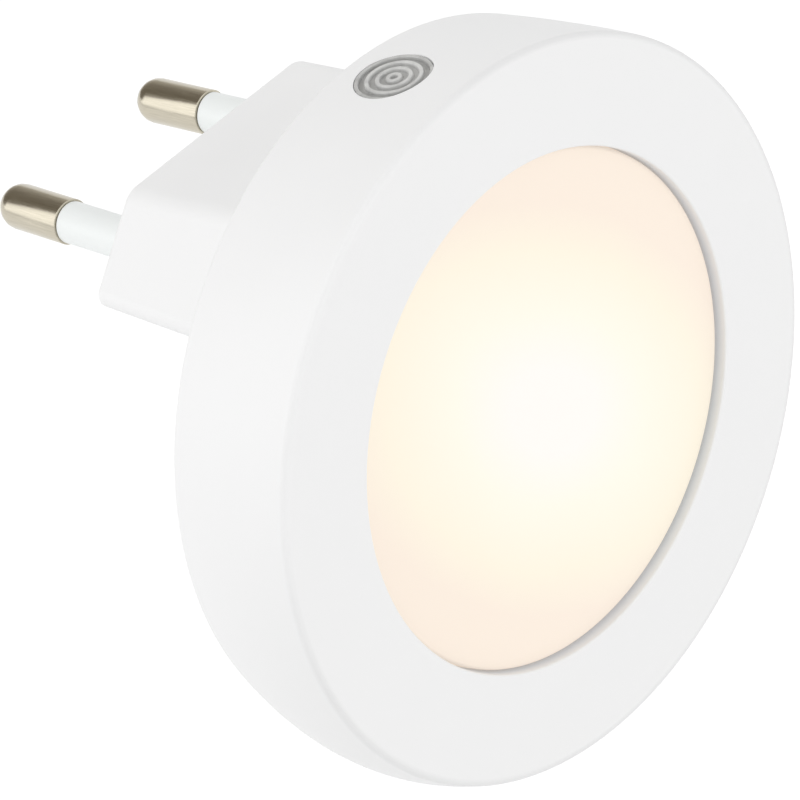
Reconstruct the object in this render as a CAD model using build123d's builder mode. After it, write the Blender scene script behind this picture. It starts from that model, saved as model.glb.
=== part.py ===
from build123d import *

import os
from math import atan, cos, radians, sin

# Plug-in night light: a round lamp head on a two-pin plug block.
# Millimetres. The origin is the middle of the plug face, between the two pins.
# +Y goes into the wall, -Y into the room and +Z is up. A "height" is the distance
# from the wall into the room, so a point at height h has y = -h.

os.makedirs("parts", exist_ok=True)

# ---------------------------------------------------------------- driving dimensions

# Lamp head: its radius follows from the opening, the clamp ring, the bosses and the wall.
# The side wall bulges between three rings, and more so below than above.
head_taper = 0.97           # how much wider it is in front than at the rear
head_belly = 1.32           # how much wider it is half way than at the rear
belly_drop = 0.72           # middle of the half-way ring below the head's axis
rear_rise = 0.25            # middle of the rear ring above the head's axis
head_depth = 13.2
head_drop = 14.55           # head axis below the middle of the plug
rim_round = 0.5
rear_round = 0.4
side_wall = 1.35
bezel_thickness = 2.2
opening_radius = 22.25
lip_round = 0.2

# Plug block: a six-sided outline that widens towards the head
plug_depth = 18.7
plug_thickness = 13.6
plug_width = 35.1           # across the two side points, before they are rounded
plug_flat = 21.4            # length of the top and bottom flats
plug_spread = 1.1           # growth of the half width, from the wall to the head
plug_rise = 0.75            # growth of the half thickness, from the wall to the head
flat_round = 2.4
point_round = 1.2
plug_wall = 1.8
face_thickness = 2.5
face_round = 0.5
hole_chamfer = 0.3

# Pins
pin_radius = 2.0
pin_length = 19.0
pin_spacing_base = 18.6
pin_spacing_tip = 17.5
neck_radius = 1.5
sleeve_radius = 1.84
sleeve_length = 10.9
collar_radius = 2.3
collar_thickness = 1.0
tail_radius = 1.0
tail_length = 1.4
bore_gap = 0.05
seat_gap = 0.1              # along a leaning pin, from a square face
carrier_depth = 6.0
carrier_gap = 0.15

# Contact lugs and leads
lug_radius = 2.2
lug_thickness = 0.6
lug_reach = 3.0
lug_width = 2.6
lead_radius = 0.7
lead_bend = 4.0
lead_inset = 2.2            # how far a lead steps in on its way to the board
lead_straight = 3.0
lead_gap = 0.1

# Rear cover and its fixings
cover_thickness = 2.0
cover_gap = 0.15
boss_radius = 2.2
boss_ring_gap = 0.4         # from the clamp ring
boss_wall_gap = 0.3         # from the side wall
boss_angles = (40, 140, 270)
cover_screw_radius = 0.9
cover_screw_grip = 7.0
cover_head_radius = 1.8
cover_head_height = 1.1
cover_head_sink = 1.2
thread_gap = 0.05
head_gap = 0.2
recess_width = 0.5
recess_length = 2.0
recess_depth = 0.6
post_radius = 2.0
post_inset = 4.3            # from the board's edge, as are the other insets
post_height = 1.8
post_angles = (25, 155, 270)
board_screw_radius = 0.75
board_screw_grip = 2.8
board_head_radius = 1.7
board_head_height = 1.0
pilot_extra = 0.3
sheet_thickness = 0.3
sheet_gap = 0.2

# Circuit board
board_thickness = 1.2
board_gap = 0.3
leg_radius = 0.3
leg_hole_gap = 0.1
leg_stub = 0.3

# Diffuser, reflector and clamp ring
diffuser_gap = 0.15
diffuser_edge_depth = 1.0   # how far its edge lies behind the bezel's face
diffuser_apex = 0.4         # how far its middle stands out of the bezel's face
diffuser_thickness = 1.5
diffuser_edge_round = 0.3
flange_overlap = 1.15
flange_thickness = 1.0
reflector_bottom = 8.2
reflector_foot = 1.4
reflector_flange = 0.8
reflector_lip = 0.6
ring_thickness = 1.0
ring_wall = 0.8
ring_gap = 0.1

# Light sensor and its window
sensor_setback = 5.3        # window's axis in front of the head's rear edge
window_radius = 3.35
window_gap = 0.05
window_thickness = 1.05
window_inset = 0.15         # how far its face lies below the crown of the side wall
light_pipe_radius = 2.55
light_pipe_length = 1.8
ridge_count = 4
ridge_crest_share = 0.35    # of the pitch of the rings
ridge_groove_depth = 0.3
shroud_radius = 2.8
shroud_bore = 2.2
shroud_length = 3.2
shroud_floor = 0.8
photocell_radius = 2.0
photocell_thickness = 1.8
photocell_leg_pitch = 2.0
photocell_leg_shift = 1.2
photocell_leg_root = 0.5     # how deep a leg is set in the body
photocell_leg_inset = 3.35
leg_bend = 0.6

# Parts on the board
led_count = 4
led_circle = 4.6
led_length = 3.5
led_width = 2.8
led_height = 1.1
led_lens_radius = 1.15
led_lens_depth = 0.2
film_width = 10.4
film_height = 6.4
film_depth = 9.5
film_centre = -3.6
film_pitch = 7.5
film_round = 0.5
can_radius = 3.15
can_length = 9.5
can_centre = 5.4
can_pitch = 2.5
can_groove_width = 0.6
can_groove_depth = 0.3
can_groove_place = 1.4
bridge_length = 4.8
bridge_width = 3.9
bridge_height = 2.2
bridge_leg_width = 0.7
bridge_leg_reach = 1.1
bridge_leg_height = 0.4
bridge_leg_pitch = 2.5
bridge_inset = 4.3
bridge_angle = 315
fuse_radius = 1.0
fuse_length = 5.0
fuse_inset = 4.0
fuse_angle = 226
fuse_pitch = 7.4
fuse_cap_length = 1.2
fuse_cap_extra = 0.12
transistor_length = 2.9
transistor_width = 1.3
transistor_height = 1.0
transistor_leg_width = 0.4
transistor_leg_reach = 0.6
transistor_leg_height = 0.2
transistor_inset = 6.0
transistor_angle = 182
chip_length = 3.2
chip_width = 1.6
chip_height = 0.6
chip_inset = 5.3
chip_angles = (-23, -14, -5, 4)

# ------------------------------------------------------------------- derived values

head_z = -head_drop
cover_top = plug_depth + cover_thickness
front_height = plug_depth + head_depth
bezel_inner = front_height - bezel_thickness

flange_radius = opening_radius + flange_overlap
ring_bore = opening_radius + ring_gap
ring_radius = flange_radius + ring_gap + ring_wall
boss_circle = ring_radius + boss_ring_gap + boss_radius
head_bore = boss_circle + boss_radius + boss_wall_gap
head_rear_radius = head_bore + side_wall
head_radius = head_rear_radius + head_taper
belly_radius = head_rear_radius + head_belly
cover_radius = head_bore - cover_gap

board_back = cover_top + post_height
board_front = board_back + board_thickness
board_radius = boss_circle - boss_radius - board_gap

diffuser_radius = opening_radius - diffuser_gap
diffuser_edge = front_height - diffuser_edge_depth
diffuser_top = front_height + diffuser_apex
flange_back = bezel_inner - flange_thickness
clamp_face = flange_back - reflector_flange
ring_back = clamp_face - ring_thickness

carrier_back = face_thickness + carrier_depth
collar_back = carrier_back + seat_gap + collar_thickness
lean = atan((pin_spacing_base - pin_spacing_tip) / 2 / pin_length)

sensor_height = plug_depth + sensor_setback
sensor_share = sensor_setback / head_depth
crown_radius = (            # the parabola through the tops of the three rings
    (head_rear_radius + rear_rise) * (1 - sensor_share) * (1 - 2 * sensor_share)
    + (belly_radius - belly_drop) * 4 * sensor_share * (1 - sensor_share)
    + head_radius * sensor_share * (2 * sensor_share - 1)
)
window_face = crown_radius - window_inset
window_seat = window_face - window_thickness
pipe_end = window_seat - light_pipe_length
shroud_end = pipe_end - shroud_length
photocell_back = shroud_end + shroud_floor

head_axis = Axis((0, 0, head_z), (0, 1, 0))
head_profile = Plane(origin=(0, 0, head_z), x_dir=(1, 0, 0), z_dir=(0, 0, -1))


# -------------------------------------------------------------------------- helpers

def head_plane(height):
    """Plane across the head's axis that looks into the room, with local y up."""
    return Plane(origin=(0, -height, head_z), x_dir=(1, 0, 0), z_dir=(0, -1, 0))


def plug_plane(height):
    """Plane across the plug's axis that looks into the room, with local y up."""
    return Plane(origin=(0, -height, 0), x_dir=(1, 0, 0), z_dir=(0, -1, 0))


def sensor_plane(radius):
    """Plane across the sensor's axis, at a distance up from the head's axis."""
    return Plane(origin=(0, -sensor_height, head_z + radius), x_dir=(1, 0, 0), z_dir=(0, 0, 1))


def pin_direction(side):
    """Unit vector along a pin, from its root to its tip."""
    return Vector(-side * sin(lean), cos(lean), 0)


def pin_point(side, reach):
    """Point on a pin's axis, `reach` out of the plug face."""
    return Vector(side * pin_spacing_base / 2, 0, 0) + pin_direction(side) * reach


def pin_plane(side, reach):
    """Plane across a pin that looks to its tip, with local x away from the other pin."""
    outward = (side * cos(lean), sin(lean), 0)
    return Plane(origin=pin_point(side, reach), x_dir=outward, z_dir=pin_direction(side))


def polar_points(radius, angles):
    """Points on a circle, from angles in degrees."""
    return [(radius * cos(radians(a)), radius * sin(radians(a))) for a in angles]


def plug_outline(height, inset=0.0):
    """Six-sided outline of the plug block at a height, drawn in by `inset`."""
    share = height / plug_depth
    half_width = plug_width / 2 + plug_spread * share
    half_thickness = plug_thickness / 2 + plug_rise * share
    half_flat = plug_flat / 2
    with BuildSketch(plug_plane(height)) as outline:
        Polygon(
            (half_width, 0),
            (half_flat, half_thickness),
            (-half_flat, half_thickness),
            (-half_width, 0),
            (-half_flat, -half_thickness),
            (half_flat, -half_thickness),
        )
        if inset:
            offset(amount=-inset, kind=Kind.INTERSECTION)
        else:
            corners = outline.vertices().group_by(Axis.Y)
            fillet(corners[0] + corners[-1], flat_round)
            fillet(outline.vertices().sort_by(Axis.X)[0], point_round)
            fillet(outline.vertices().sort_by(Axis.X)[-1], point_round)
    return outline.sketch


def cross_outline(height, points):
    """Cross-shaped driver recesses at points around the head's axis."""
    with BuildSketch(head_plane(height)) as cross:
        with Locations(*points):
            Rectangle(recess_length, recess_width)
            Rectangle(recess_width, recess_length)
    return cross.sketch


def finish(part, name):
    """Labels a finished piece and writes its file."""
    part.label = name
    export_step(part, f"parts/{name}.step")


boss_points = polar_points(boss_circle, boss_angles)
post_points = polar_points(board_radius - post_inset, post_angles)
chip_points = polar_points(board_radius - chip_inset, chip_angles)
bridge_point = polar_points(board_radius - bridge_inset, [bridge_angle])[0]
transistor_point = polar_points(board_radius - transistor_inset, [transistor_angle])[0]
fuse_x, fuse_z = polar_points(board_radius - fuse_inset, [fuse_angle])[0]
photocell_leg_end = board_radius - photocell_leg_inset
plug_up = head_drop         # the plug's middle, seen from the head's axis
leg_points = [
    (-photocell_leg_pitch / 2, photocell_leg_end),
    (photocell_leg_pitch / 2, photocell_leg_end),
    (film_centre - film_pitch / 2, plug_up),
    (film_centre + film_pitch / 2, plug_up),
    (can_centre - can_pitch / 2, plug_up),
    (can_centre + can_pitch / 2, plug_up),
    (fuse_x - fuse_pitch / 2, fuse_z),
    (fuse_x + fuse_pitch / 2, fuse_z),
]

# -------------------------------------------------------------------- front housing

with BuildPart() as front_housing:
    for height, rise, radius in (
        (plug_depth, rear_rise, head_rear_radius),
        (plug_depth + head_depth / 2, -belly_drop, belly_radius),
        (front_height, 0, head_radius),
    ):
        with BuildSketch(head_plane(height)):
            with Locations((0, rise)):
                Circle(radius)
    loft()
    fillet(front_housing.edges().sort_by(Axis.Y)[0], rim_round)
    fillet(front_housing.edges().sort_by(Axis.Y)[-1], rear_round)
    with BuildSketch(head_plane(plug_depth)):
        Circle(head_bore)
    extrude(amount=head_depth - bezel_thickness, mode=Mode.SUBTRACT)
    with BuildSketch(head_plane(cover_top)):
        with Locations(*boss_points):
            Circle(boss_radius)
    extrude(amount=bezel_inner - cover_top)
    with BuildSketch(head_plane(cover_top)):
        with Locations(*boss_points):
            Circle(cover_screw_radius + thread_gap)
    extrude(amount=cover_screw_grip + pilot_extra, mode=Mode.SUBTRACT)
    with BuildSketch(head_plane(front_height)):
        Circle(opening_radius)
    extrude(amount=-bezel_thickness, mode=Mode.SUBTRACT)
    mouth = front_housing.edges().filter_by(GeomType.CIRCLE).group_by(Axis.Y)[0]
    fillet(mouth.sort_by(SortBy.RADIUS)[0], lip_round)
    with BuildSketch(sensor_plane(window_seat)):
        Circle(window_radius)
    extrude(amount=2 * window_thickness, mode=Mode.SUBTRACT)
    with BuildSketch(sensor_plane(pipe_end)):
        Circle(light_pipe_radius + window_gap)
    extrude(amount=light_pipe_length, mode=Mode.SUBTRACT)
finish(front_housing.part, "front_housing")

# ----------------------------------------------- rear cover with its hollow plug block

with BuildPart() as rear_cover:
    with BuildSketch(head_plane(plug_depth)):
        Circle(cover_radius)
    extrude(amount=cover_thickness)
    loft(sections=[plug_outline(0), plug_outline(plug_depth)])
    fillet(rear_cover.faces().sort_by(Axis.Y)[-1].edges(), face_round)
    loft(
        sections=[plug_outline(face_thickness, plug_wall), plug_outline(cover_top, plug_wall)],
        mode=Mode.SUBTRACT,
    )
    with BuildSketch(head_plane(cover_top)):
        with Locations(*post_points):
            Circle(post_radius)
    extrude(amount=post_height)
    with BuildSketch(head_plane(board_back)):
        with Locations(*post_points):
            Circle(board_screw_radius + thread_gap)
    extrude(amount=-(board_screw_grip + pilot_extra), mode=Mode.SUBTRACT)
    with BuildSketch(head_plane(plug_depth)):
        with Locations(*boss_points):
            Circle(cover_head_radius + head_gap)
    extrude(amount=cover_head_sink, mode=Mode.SUBTRACT)
    with BuildSketch(head_plane(plug_depth)):
        with Locations(*boss_points):
            Circle(cover_screw_radius + head_gap)
    extrude(amount=cover_thickness, mode=Mode.SUBTRACT)
    for side in (-1, 1):
        with BuildSketch(pin_plane(side, 0)):
            Circle(sleeve_radius + bore_gap)
        extrude(amount=2 * face_thickness, both=True, mode=Mode.SUBTRACT)
    plug_face = rear_cover.faces().sort_by(Axis.Y)[-1]
    chamfer(plug_face.inner_wires().edges(), hole_chamfer)
finish(rear_cover.part, "rear_cover")

# -------------------------------------------------- pins, sleeves, lugs and leads

for side, hand in ((-1, "left"), (1, "right")):
    pin_axis = Axis(pin_point(side, 0), pin_direction(side))
    along_pin = Plane(origin=pin_point(side, 0), x_dir=pin_direction(side), z_dir=(0, 0, 1))
    collar_front = -(carrier_back + seat_gap)
    collar_root = -collar_back
    tail_end = -(collar_back + lug_thickness + tail_length)

    with BuildPart() as pin:
        with BuildSketch(along_pin):
            with BuildLine():
                Polyline(
                    (pin_length, 0),
                    (tail_end, 0),
                    (tail_end, tail_radius),
                    (collar_root, tail_radius),
                    (collar_root, collar_radius),
                    (collar_front, collar_radius),
                    (collar_front, neck_radius),
                    (sleeve_length, neck_radius),
                    (sleeve_length, pin_radius),
                    (pin_length - pin_radius, pin_radius),
                )
                CenterArc((pin_length - pin_radius, 0), pin_radius, 0, 90)
            make_face()
        revolve(axis=pin_axis)
    finish(pin.part, f"pin_{hand}")

    with BuildPart() as sleeve:
        with BuildSketch(pin_plane(side, seat_gap - face_thickness)):
            Circle(sleeve_radius)
            Circle(neck_radius + bore_gap, mode=Mode.SUBTRACT)
        extrude(amount=face_thickness - seat_gap + sleeve_length - bore_gap)
    finish(sleeve.part, f"sleeve_{hand}")

    with BuildPart() as lug:
        with BuildSketch(pin_plane(side, collar_root)):
            Circle(lug_radius)
            Rectangle(lug_reach + lug_width / 2, lug_width, align=(Align.MIN, Align.CENTER))
            Circle(tail_radius + bore_gap, mode=Mode.SUBTRACT)
        extrude(amount=-lug_thickness)
    finish(lug.part, f"contact_lug_{hand}")

    lug_back = pin_plane(side, collar_root - lug_thickness)
    lead_start = lug_back.from_local_coords(Vector(lug_reach, 0, -lead_gap))
    outer_x = lead_start.X
    inner_x = outer_x - side * lead_inset
    first_bend = lead_start.Y - lead_straight
    second_bend = -board_back + lead_straight
    with BuildPart() as lead:
        with BuildLine() as lead_route:
            FilletPolyline(
                (outer_x, lead_start.Y, 0),
                (outer_x, first_bend, 0),
                (inner_x, second_bend, 0),
                (inner_x, -board_back, 0),
                radius=lead_bend,
            )
        with BuildSketch(Plane(origin=lead_route.line @ 0, z_dir=lead_route.line % 0)):
            Circle(lead_radius)
        sweep()
    finish(lead.part, f"lead_{hand}")

with BuildPart() as pin_carrier:
    extrude(plug_outline(face_thickness, plug_wall + carrier_gap), amount=carrier_depth)
    for side in (-1, 1):
        with BuildSketch(pin_plane(side, -face_thickness)):
            Circle(neck_radius + bore_gap)
        extrude(amount=2 * carrier_depth, both=True, mode=Mode.SUBTRACT)
finish(pin_carrier.part, "pin_carrier")

# --------------------------------------------------------- board and insulation sheet

with BuildPart() as circuit_board:
    with BuildSketch(head_plane(board_back)):
        Circle(board_radius)
        with Locations(*post_points):
            Circle(board_screw_radius + head_gap, mode=Mode.SUBTRACT)
        with Locations(*leg_points):
            Circle(leg_radius + leg_hole_gap, mode=Mode.SUBTRACT)
    extrude(amount=board_thickness)
finish(circuit_board.part, "circuit_board")

with BuildPart() as insulation_sheet:
    with BuildSketch(head_plane(cover_top)):
        Circle(board_radius)
        with Locations(*post_points):
            Circle(post_radius + sheet_gap, mode=Mode.SUBTRACT)
    extrude(amount=sheet_thickness)
    extrude(
        plug_outline(cover_top, plug_wall - sheet_gap),
        amount=sheet_thickness,
        mode=Mode.SUBTRACT,
    )
finish(insulation_sheet.part, "insulation_sheet")

# ------------------------------------------------------------------------- screws

with BuildPart() as cover_screws:
    with BuildSketch(head_plane(plug_depth + cover_head_sink)):
        with Locations(*boss_points):
            Circle(cover_head_radius)
    extrude(amount=-cover_head_height)
    with BuildSketch(head_plane(plug_depth + cover_head_sink)):
        with Locations(*boss_points):
            Circle(cover_screw_radius)
    extrude(amount=cover_thickness - cover_head_sink + cover_screw_grip)
    extrude(
        cross_outline(plug_depth + cover_head_sink - cover_head_height, boss_points),
        amount=recess_depth,
        mode=Mode.SUBTRACT,
    )
finish(cover_screws.part, "cover_screws")

with BuildPart() as board_screws:
    with BuildSketch(head_plane(board_front)):
        with Locations(*post_points):
            Circle(board_head_radius)
    extrude(amount=board_head_height)
    with BuildSketch(head_plane(board_front)):
        with Locations(*post_points):
            Circle(board_screw_radius)
    extrude(amount=-(board_thickness + board_screw_grip))
    extrude(
        cross_outline(board_front + board_head_height, post_points),
        amount=-recess_depth,
        mode=Mode.SUBTRACT,
    )
finish(board_screws.part, "board_screws")

# ------------------------------------------------- diffuser, reflector and clamp ring

with BuildPart() as diffuser:
    inner_radius = diffuser_radius - diffuser_thickness
    with BuildSketch(head_profile):
        with BuildLine():
            TangentArc((0, diffuser_top), (diffuser_radius, diffuser_edge), tangent=(1, 0))
            Polyline(
                (diffuser_radius, diffuser_edge),
                (diffuser_radius, bezel_inner),
                (flange_radius, bezel_inner),
                (flange_radius, flange_back),
                (inner_radius, flange_back),
                (inner_radius, diffuser_edge - diffuser_thickness),
            )
            TangentArc(
                (0, diffuser_top - diffuser_thickness),
                (inner_radius, diffuser_edge - diffuser_thickness),
                tangent=(1, 0),
            )
            Line((0, diffuser_top - diffuser_thickness), (0, diffuser_top))
        make_face()
    revolve(axis=head_axis)
    rims = diffuser.edges().filter_by(lambda edge: edge.is_closed)
    fillet(rims.sort_by(Axis.Y)[0], diffuser_edge_round)
finish(diffuser.part, "diffuser")

with BuildPart() as reflector:
    reflector_top = diffuser_radius - diffuser_thickness
    with BuildSketch(head_profile):
        with BuildLine():
            Polyline(
                (reflector_bottom, board_front),
                (reflector_bottom + reflector_foot, board_front),
                (reflector_top + reflector_lip, clamp_face),
                (flange_radius, clamp_face),
                (flange_radius, flange_back),
                (reflector_top, flange_back),
                close=True,
            )
        make_face()
    revolve(axis=head_axis)
finish(reflector.part, "reflector")

with BuildPart() as clamp_ring:
    with BuildSketch(head_profile):
        with BuildLine():
            Polyline(
                (ring_bore, ring_back),
                (ring_radius, ring_back),
                (ring_radius, bezel_inner),
                (ring_radius - ring_wall, bezel_inner),
                (ring_radius - ring_wall, clamp_face),
                (ring_bore, clamp_face),
                close=True,
            )
        make_face()
    revolve(axis=head_axis)
finish(clamp_ring.part, "clamp_ring")

# ------------------------------------------- sensor window, shroud and photocell

with BuildPart() as sensor_window:
    with BuildSketch(sensor_plane(window_seat)):
        Circle(window_radius - window_gap)
    extrude(amount=window_thickness)
    with BuildSketch(sensor_plane(window_seat)):
        Circle(light_pipe_radius)
    extrude(amount=-light_pipe_length)
    face_radius = window_radius - window_gap
    ridge_pitch = face_radius / (ridge_count - 0.25)    # the inmost groove is a small dimple
    ridge_crest = ridge_crest_share * ridge_pitch
    for ridge in range(ridge_count):
        with BuildSketch(sensor_plane(window_face)):
            Circle(face_radius - ridge * ridge_pitch - ridge_crest)
            if ridge < ridge_count - 1:
                Circle(face_radius - (ridge + 1) * ridge_pitch, mode=Mode.SUBTRACT)
        extrude(amount=-ridge_groove_depth, mode=Mode.SUBTRACT)
finish(sensor_window.part, "sensor_window")

photocell_legs = [
    (leg * photocell_leg_pitch / 2, photocell_leg_shift) for leg in (-1, 1)
]
with BuildPart() as sensor_shroud:
    with BuildSketch(sensor_plane(shroud_end)):
        Circle(shroud_radius)
    extrude(amount=shroud_length)
    with BuildSketch(sensor_plane(photocell_back)):
        Circle(shroud_bore)
    extrude(amount=shroud_length - shroud_floor, mode=Mode.SUBTRACT)
    with BuildSketch(sensor_plane(shroud_end)):
        with Locations(*[(x, -shift) for x, shift in photocell_legs]):
            Circle(leg_radius + leg_hole_gap)
    extrude(amount=shroud_floor, mode=Mode.SUBTRACT)
finish(sensor_shroud.part, "sensor_shroud")

with BuildPart() as photocell:
    with BuildSketch(sensor_plane(photocell_back)):
        Circle(photocell_radius)
    extrude(amount=photocell_thickness)
    for x, shift in photocell_legs:
        leg_y = -sensor_height - shift
        with BuildLine() as leg_route:
            FilletPolyline(
                (x, leg_y, head_z + photocell_back + photocell_leg_root),
                (x, leg_y, head_z + photocell_leg_end),
                (x, -board_back + leg_stub, head_z + photocell_leg_end),
                radius=leg_bend,
            )
        with BuildSketch(Plane(origin=leg_route.line @ 0, z_dir=leg_route.line % 0)):
            Circle(leg_radius)
        sweep()
finish(photocell.part, "photocell")

# ----------------------------------------------------------------- parts on the board


def board_legs(points, height):
    """Round legs that run through the board, from a body at `height` past its far face."""
    with BuildSketch(head_plane(height)) as legs:
        with Locations(*points):
            Circle(leg_radius)
    return legs.sketch


leg_length = board_thickness + leg_stub

with BuildPart() as drop_capacitor:
    with BuildSketch(head_plane(board_back)):
        with Locations((film_centre, plug_up)):
            RectangleRounded(film_width, film_height, film_round)
    extrude(amount=-film_depth)
    film_legs = [(film_centre + leg * film_pitch / 2, plug_up) for leg in (-1, 1)]
    extrude(board_legs(film_legs, board_back), amount=leg_length)
finish(drop_capacitor.part, "drop_capacitor")

with BuildPart() as smoothing_capacitor:
    with BuildSketch(head_plane(board_back)):
        with Locations((can_centre, plug_up)):
            Circle(can_radius)
    extrude(amount=-can_length)
    with BuildSketch(head_plane(board_back - can_groove_place)):
        with Locations((can_centre, plug_up)):
            Circle(can_radius)
            Circle(can_radius - can_groove_depth, mode=Mode.SUBTRACT)
    extrude(amount=-can_groove_width, mode=Mode.SUBTRACT)
    can_legs = [(can_centre + leg * can_pitch / 2, plug_up) for leg in (-1, 1)]
    extrude(board_legs(can_legs, board_back), amount=leg_length)
finish(smoothing_capacitor.part, "smoothing_capacitor")

with BuildPart() as leds:
    with BuildSketch(head_plane(board_front)):
        with PolarLocations(led_circle, led_count):
            Rectangle(led_length, led_width)
    extrude(amount=led_height)
    with BuildSketch(head_plane(board_front + led_height)):
        with PolarLocations(led_circle, led_count):
            Circle(led_lens_radius)
    extrude(amount=-led_lens_depth, mode=Mode.SUBTRACT)
finish(leds.part, "leds")

with BuildPart() as bridge_rectifier:
    with BuildSketch(head_plane(board_front)):
        with Locations(bridge_point):
            Rectangle(bridge_length, bridge_width)
    extrude(amount=bridge_height)
    with BuildSketch(head_plane(board_front)):
        with Locations(bridge_point):
            with GridLocations(bridge_leg_pitch, 0, 2, 1):
                Rectangle(bridge_leg_width, bridge_width + 2 * bridge_leg_reach)
    extrude(amount=bridge_leg_height)
finish(bridge_rectifier.part, "bridge_rectifier")

with BuildPart() as fuse_resistor:
    fuse_height = board_front + fuse_radius + fuse_cap_extra
    fuse_level = Plane(
        origin=(fuse_x - fuse_length / 2, -fuse_height, head_z + fuse_z),
        x_dir=(0, 0, 1),
        z_dir=(1, 0, 0),
    )
    with BuildSketch(fuse_level):
        Circle(fuse_radius)
    extrude(amount=fuse_length)
    for cap_start in (0, fuse_length - fuse_cap_length):
        with BuildSketch(fuse_level.offset(cap_start)):
            Circle(fuse_radius + fuse_cap_extra)
        extrude(amount=fuse_cap_length)
    for leg in (-1, 1):
        with BuildLine() as fuse_route:
            FilletPolyline(
                (fuse_x, -fuse_height, head_z + fuse_z),
                (fuse_x + leg * fuse_pitch / 2, -fuse_height, head_z + fuse_z),
                (fuse_x + leg * fuse_pitch / 2, -board_back + leg_stub, head_z + fuse_z),
                radius=leg_bend,
            )
        with BuildSketch(Plane(origin=fuse_route.line @ 0, z_dir=fuse_route.line % 0)):
            Circle(leg_radius)
        sweep()
finish(fuse_resistor.part, "fuse_resistor")

with BuildPart() as switching_transistor:
    with BuildSketch(head_plane(board_front)):
        with Locations(transistor_point):
            Rectangle(transistor_length, transistor_width)
    extrude(amount=transistor_height)
    with BuildSketch(head_plane(board_front)):
        with Locations(transistor_point):
            with GridLocations(transistor_length - transistor_leg_width, 0, 2, 1):
                Rectangle(transistor_leg_width, transistor_width + 2 * transistor_leg_reach)
    extrude(amount=transistor_leg_height)
finish(switching_transistor.part, "switching_transistor")

with BuildPart() as chip_resistors:
    for angle, point in zip(chip_angles, chip_points):
        with BuildSketch(head_plane(board_front)):
            with Locations(Location((*point, 0), angle)):
                Rectangle(chip_length, chip_width)
        extrude(amount=chip_height)
finish(chip_resistors.part, "chip_resistors")
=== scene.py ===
"""Plug-in night light: a round lamp head on a two-pin plug block, dressed for rendering.

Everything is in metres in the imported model's own frame: +Y goes into the wall, -Y into the
room and +Z is up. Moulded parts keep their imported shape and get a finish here. The lens, the
sensor window, the pins and their sleeves are turned again with finer rounds.
"""

from math import asin, cos, radians, sin, tau

import bmesh
import bpy
from mathutils import Matrix, Vector


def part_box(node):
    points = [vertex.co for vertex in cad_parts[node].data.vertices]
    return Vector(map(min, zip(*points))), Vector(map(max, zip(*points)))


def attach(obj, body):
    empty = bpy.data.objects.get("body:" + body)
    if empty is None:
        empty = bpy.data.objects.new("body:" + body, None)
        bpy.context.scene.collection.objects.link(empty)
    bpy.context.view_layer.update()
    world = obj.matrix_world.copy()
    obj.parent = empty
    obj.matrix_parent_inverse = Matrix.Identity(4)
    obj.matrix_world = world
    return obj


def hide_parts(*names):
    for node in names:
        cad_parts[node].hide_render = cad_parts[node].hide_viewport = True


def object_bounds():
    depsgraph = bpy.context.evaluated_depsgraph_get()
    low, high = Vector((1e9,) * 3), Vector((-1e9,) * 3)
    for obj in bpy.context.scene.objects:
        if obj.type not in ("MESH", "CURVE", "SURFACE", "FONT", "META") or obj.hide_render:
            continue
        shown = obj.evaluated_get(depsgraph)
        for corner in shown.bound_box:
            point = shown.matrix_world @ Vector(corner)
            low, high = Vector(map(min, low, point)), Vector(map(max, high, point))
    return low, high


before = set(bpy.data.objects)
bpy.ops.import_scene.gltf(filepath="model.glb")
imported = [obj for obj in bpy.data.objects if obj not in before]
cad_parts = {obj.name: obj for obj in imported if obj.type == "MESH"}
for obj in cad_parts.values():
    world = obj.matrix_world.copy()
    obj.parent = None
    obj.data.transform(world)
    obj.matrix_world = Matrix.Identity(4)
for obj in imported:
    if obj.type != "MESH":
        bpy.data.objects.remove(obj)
packed_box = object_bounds()

bl_info = {
    "name": "Plug-in night light",
    "version": (1, 0, 0),
    "blender": (4, 5, 0),
    "location": "3D View > Sidebar > Night light",
    "description": "Builds the finishes, lens, pins and studio of a plug-in night light",
    "category": "Object",
}

MM = 0.001
BODY = "root"
RIM_RADIUS = 31.72 * MM     # outside of the bezel's face
RIM_ROUND = 0.5 * MM
RECESS_GAP = 0.2 * MM       # from the lens to the edge of the bezel's opening
GROOVE_SLOPE = 0.08 * MM    # how far a groove's flank leans in
CREST_ROUND = 0.1 * MM
FLAG_ENDS = Vector((-0.166, 0.267, 0.272)), Vector((0.288, 0.275, 0.157))
CAMERA_PLACE = Vector((-232.233, -290.904, 214.608)) * MM
CAMERA_RIGHT = Vector((0.63880286, -0.73245148, -0.23546919))
CAMERA_UP = Vector((0.54822507, 0.21861462, 0.8072527))


def linear(hex_colour):
    """Linear colour with alpha, from an sRGB hex value such as F0F1F1."""
    parts = [int(hex_colour[i:i + 2], 16) / 255 for i in (0, 2, 4)]
    return [p / 12.92 if p <= 0.04045 else ((p + 0.055) / 1.055) ** 2.4 for p in parts] + [1.0]


def length(label, description, millimetres):
    """A length property, with its default in millimetres."""
    return bpy.props.FloatProperty(
        name=label, description=description, default=millimetres * MM,
        min=0.0, unit="LENGTH", subtype="DISTANCE", precision=5,
    )


def colour(label, description, hex_colour):
    """A colour property, with its default as an sRGB hex value."""
    return bpy.props.FloatVectorProperty(
        name=label, description=description, default=linear(hex_colour),
        min=0.0, max=1.0, size=4, subtype="COLOR",
    )


# ------------------------------------------------------------------ sizes and colours

diffuser_low, diffuser_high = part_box("diffuser")
head_centre = (diffuser_low + diffuser_high) / 2
bezel_face = -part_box("front_housing")[0].y / MM


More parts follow.
